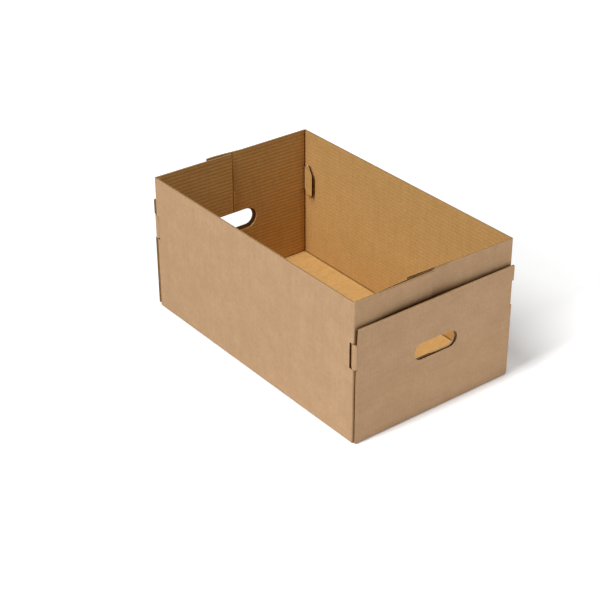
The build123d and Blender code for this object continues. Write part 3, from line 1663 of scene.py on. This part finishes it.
@dataclass
class Ear:
    """Ear that folds round a corner from an end panel and tucks inside the long wall."""

    sizes: TraySizes
    slant_start: float = 0.2479
    slant_end: float = 0.2424
    tuck_start: float = 0.1486
    tip: float = 0.2190
    tip_side: float = 0.1453
    bend_radii: tuple[float, float, float] = (0.0045, 0.0055, 0.0055)
    bend_steps: int = 5
    parts: tuple[int, int, int, int] = (1, 1, 1, 16)
    hook_foot: float = 0.2406
    hook_start: float = 0.2376
    hook_end: float = 0.2306
    hook_high: float = 0.1750
    hook_low: float = 0.1210
    tip_high: float = 0.1600
    tip_round: float = 0.0070
    tip_cuts: tuple[float, ...] = (0.0, 0.25, 0.5, 0.75)
    tip_hollow: float = 0.0040
    tip_shade_end: float = 0.2260
    trim_slack: float = 0.000001
    crevice_shade_start: float = 0.2432
    crevice_shade_end: float = 0.2520
    cut_depth: float = 0.010
    others: tuple[str, str, str] = ("far_left_ear", "near_right_ear", "near_left_ear")

    def build(self) -> dict[str, Thing]:
        """Make the ear at the right-hand far corner, and copy it to the other three.

        Returns:
            The ears by name, each with its three papers.
        """
        sizes = self.sizes
        papers = Papers(Grain.LENGTHWAYS, self.tip, "ear")
        points = ((sizes.panel_face, sizes.ear_fold), (sizes.panel_face, sizes.half_width),
                  (self.slant_start, sizes.half_width), (self.slant_end, self.tuck_start),
                  (self.tip, self.tip_side))
        path = FoldPath(points, self.bend_radii, self.parts, self.bend_steps)
        sheet = FoldedSheet("ear", path, UP, self.hook_low, self.hook_high, self.hook_low, papers, flat=True)
        made = sheet.build()
        inner = made[Layer.INNER_LINER]
        # painted shade on the ear's inner liner where it slants into the opening, for the dark crevice seen
        # past the flap's cut edge
        with edit_mode(inner):
            pick_faces(inner, lambda at, normal: self.crevice_shade_start < at.x < self.crevice_shade_end
                       and normal.y < -PARTLY_ON)
            finish_picked(inner, Coat.SHADED_CREASE)
        layers = [*made.values(), sheet.core(*sizes.rim_band(self.hook_high), papers.cut_edge)]
        # the nose ends of the outer liner, fluting and core take painted shade, for the dark end face and gap
        # at the tip; the inner liner's end keeps the cut-edge colour
        insets = (0.0, self.tip_hollow, 0.0, self.tip_hollow)
        coats = (Coat.HIDDEN, Coat.HIDDEN, Coat.CUT_EDGE, Coat.HIDDEN)
        for layer, inset, coat in zip(layers, insets, coats):
            self.trim(layer, inset, coat)
        self.cut_hooks(Cutters(papers.cut_edge), layers)
        ear = join(layers, "ear")
        return {"far_right_ear": ear, **dict(zip(self.others, at_other_corners(ear)))}

    def cut_hooks(self, cutters: Cutters, layers: Sequence[Thing]) -> None:
        """Cut the ear to its root's height behind its hooks, whose sides slope.

        Args:
            cutters: Tools to use.
            layers: Papers of the ear.
        """
        sizes = self.sizes
        beyond = sizes.panel_face + sizes.clear
        along = (self.hook_foot, beyond)
        across = (sizes.ear_fold - self.cut_depth, sizes.half_width + sizes.clear)
        slope = ALONG * (self.hook_start - self.hook_foot) * 2.0
        over = 2 * self.hook_high - sizes.ear_high
        under = 2 * self.hook_low - sizes.ear_low
        cutters.sloped(along, across, (sizes.ear_high, over),
                       lambda at: at.x < beyond - SLIVER and at.z > self.hook_high, slope)
        cutters.sloped(along, across, (under, sizes.ear_low),
                       lambda at: at.x < beyond - SLIVER and at.z < self.hook_low, slope)
        cutters.apply(layers)

    def trim(self, layer: Thing, inset: float, coat: Coat) -> None:
        """Trim the ear's nose to its slope, with its lower corner rounded by a few cuts.

        Args:
            layer: Paper of the ear.
            inset: How far inside the ear's outline the paper ends.
            coat: Finish that its end takes.
        """
        down = UP * -1.0
        tip_out = ALONG * -1.0
        upper = Vector((self.hook_end - self.tip, 0.0, self.hook_high - self.tip_high))
        rise = Vector((-upper.z, 0.0, upper.x)).normalized()
        corner = Vector((self.tip, 0.0, self.hook_low))
        cuts = [(Vector((self.tip, 0.0, self.tip_high)), rise)]
        half = tip_out.angle(down) / 2
        centre = corner + (down + tip_out).normalized() * -self.tip_round / cos(half)
        for share in self.tip_cuts:
            way = tip_out.slerp(down, share)
            cuts.append((centre + way * self.tip_round, way))
        with edit_mode(layer):
            for place, way in cuts:
                bpy.ops.mesh.select_all(action="SELECT")
                bpy.ops.mesh.bisect(plane_co=place - way * (inset - self.trim_slack), plane_no=way,
                                    use_fill=True, clear_outer=True)
            turn_outwards()
            pick_faces(layer, lambda at, normal: normal.x < -PARTLY_ON and at.x < self.tip_shade_end)
            finish_picked(layer, coat)

    def dress(self, made: dict[str, Thing]) -> None:
        """Hand the ears over to the frame."""
        for name, piece in made.items():
            hand_over(piece, name)


@dataclass(frozen=True)
class Lamp:
    """Soft box that looks at the tray."""

    name: str
    place: Place
    size: tuple[float, float]
    power: float
    target: Place = (0.0, 0.0, 0.1)

    def hang(self) -> None:
        """Hang the lamp in its place."""
        data = bpy.data.lights.new(self.name, "AREA")
        data.shape = "RECTANGLE"
        data.size, data.size_y = self.size
        data.energy = self.power
        lamp = bpy.data.objects.new(self.name, data)
        bpy.context.scene.collection.objects.link(lamp)
        lamp.location = self.place
        aim = Vector(self.target) - Vector(self.place)
        lamp.rotation_euler = aim.to_track_quat("-Z", "Y").to_euler()


@dataclass
class Studio:
    """Pale floor, soft light and the camera."""

    lens: float = 92.109
    sensor: float = 36.0
    camera_place: Place = (1.63624, -1.31165, 1.29943)
    azimuth: float = 52.4267
    elevation: float = 30.3811
    roll: float = -0.252
    floor_size: float = 14.0
    floor_parts: int = 4
    floor_colour: Colour = (0.85, 0.86, 0.87)
    lift: tuple[float, float] = (0.22, 0.50)
    lift_span: Span = (0.15, 0.27)
    far_lift: float = 0.50
    far_span: Span = (0.42, 1.10)
    contact_reach: float = 0.022
    glow: tuple[float, float] = (0.02, 0.60)
    glow_span: Span = (-0.2, 0.4)
    sky_colour: Colour = (0.026, 0.018, 0.010)
    lamps: tuple[Lamp, ...] = (
        Lamp("soft_box", (0.0, -2.35, 4.45), (1.0, 3.1), 268.0),
        Lamp("front_fill", (0.0, -4.10, 2.70), (1.2, 1.2), 40.0),
        Lamp("side_fill", (3.00, 0.0, 0.85), (1.4, 0.9), 16.0),
    )

    def build(self) -> None:
        """Set up the floor, world, light and camera."""
        self.floor()
        self.world()
        for lamp in self.lamps:
            lamp.hang()
        self.camera()
        bpy.context.scene.view_settings.view_transform = "Standard"

    def floor(self) -> None:
        """Lay a pale floor that looks white to the camera where no shadow falls."""
        bpy.ops.object.select_all(action="DESELECT")
        parts = self.floor_parts
        bpy.ops.mesh.primitive_grid_add(x_subdivisions=parts, y_subdivisions=parts, size=self.floor_size)
        ground = bpy.context.object
        ground.name = "floor"
        nodes = MaterialNodes("pale_floor")
        along = nodes.coordinate(0)
        glow = nodes.spread(nodes.maths("ADD", along, nodes.coordinate(1)), *self.glow_span, *self.glow)
        reach = nodes.add("ShaderNodeVectorMath", {0: nodes.place()}, operation="LENGTH").outputs["Value"]
        # the camera sees the floor lifted more towards +X, painted light that lightens the tray's shadow on
        # that side
        lift = nodes.maths("ADD", nodes.spread(along, *self.lift_span, *self.lift),
                           nodes.spread(reach, *self.far_span, 0.0, self.far_lift))
        contact = nodes.add("ShaderNodeAmbientOcclusion", {"Distance": self.contact_reach}).outputs["AO"]
        light = nodes.spread(nodes.seen_rays(), 0.0, 1.0, glow, lift)
        ground.data.materials.append(nodes.dress({
            "Base Color": (*self.floor_colour, 1.0),
            "Roughness": 1.0,
            "Specular IOR Level": 0.0,
            "Emission Color": (*WHITE, 1.0),
            "Emission Strength": nodes.maths("MULTIPLY", light, contact),
        }))

    def world(self) -> None:
        """Give a faint warm light from all round, in front of a white background."""
        world = bpy.data.worlds.new("studio")
        world.use_nodes = True
        nodes = Nodes(world.node_tree)
        colour = nodes.blend(nodes.seen_rays(), self.sky_colour, WHITE)
        nodes.feed(colour, nodes.tree.nodes["Background"].inputs["Color"])
        bpy.context.scene.world = world

    def camera(self) -> None:
        """Stand the camera where the picture was taken from."""
        turn = radians(self.azimuth)
        rise = radians(self.elevation)
        tilt = radians(self.roll)
        back = Vector((sin(turn) * cos(rise), -cos(turn) * cos(rise), sin(rise)))
        right = UP.cross(back).normalized()
        top = back.cross(right)
        rolled = right * cos(tilt) + top * sin(tilt)
        data = bpy.data.cameras.new("camera")
        data.sensor_width = self.sensor
        data.lens = self.lens
        view = bpy.data.objects.new("camera", data)
        bpy.context.scene.collection.objects.link(view)
        view.location = self.camera_place
        view.rotation_euler = Matrix((rolled, back.cross(rolled), back)).transposed().to_euler()
        bpy.context.scene.camera = view


def main() -> None:
    """Build the tray's pieces in order, then the studio; each piece's face count is logged as it is handed
    over.
    """
    logging.basicConfig(level=logging.INFO, format="%(name)s: %(message)s")
    sizes = TraySizes()
    end = sizes.half_length
    wall = sizes.half_width
    near = sizes.near_free_edge
    far = sizes.far_free_edge
    near_wall = LongWall(
        name="near_wall", sizes=sizes, side=Side.MINUS, pulls=(NEAR_BOW,),
        points=((sizes.left_near_end, near), (-end, -wall), (end, -wall), (end, near)),
        hand_cut=HandCut(across=(-0.0445, 0.0238), low=0.0963, high=0.1284))
    near_wall.dress(near_wall.build())
    far_wall = LongWall(
        name="far_wall", sizes=sizes, side=Side.PLUS, pulls=(FAR_BOW, CORNER_LIFT),
        points=((sizes.right_far_end, far), (end, wall), (-end, wall), (sizes.left_far_end, far)),
        hand_cut=HandCut(across=(-0.0758, 0.0460), low=0.0925, high=0.1252, left_drop=0.0049),
        seam=Seam(), lap=(-0.0480, -0.0020))
    far_wall.dress(far_wall.build())
    base = Base(sizes, PANEL_LEAN)
    base.dress(base.build())
    ear = Ear(sizes)
    ear.dress(ear.build())
    Studio().build()


if __name__ == "__main__":
    main()
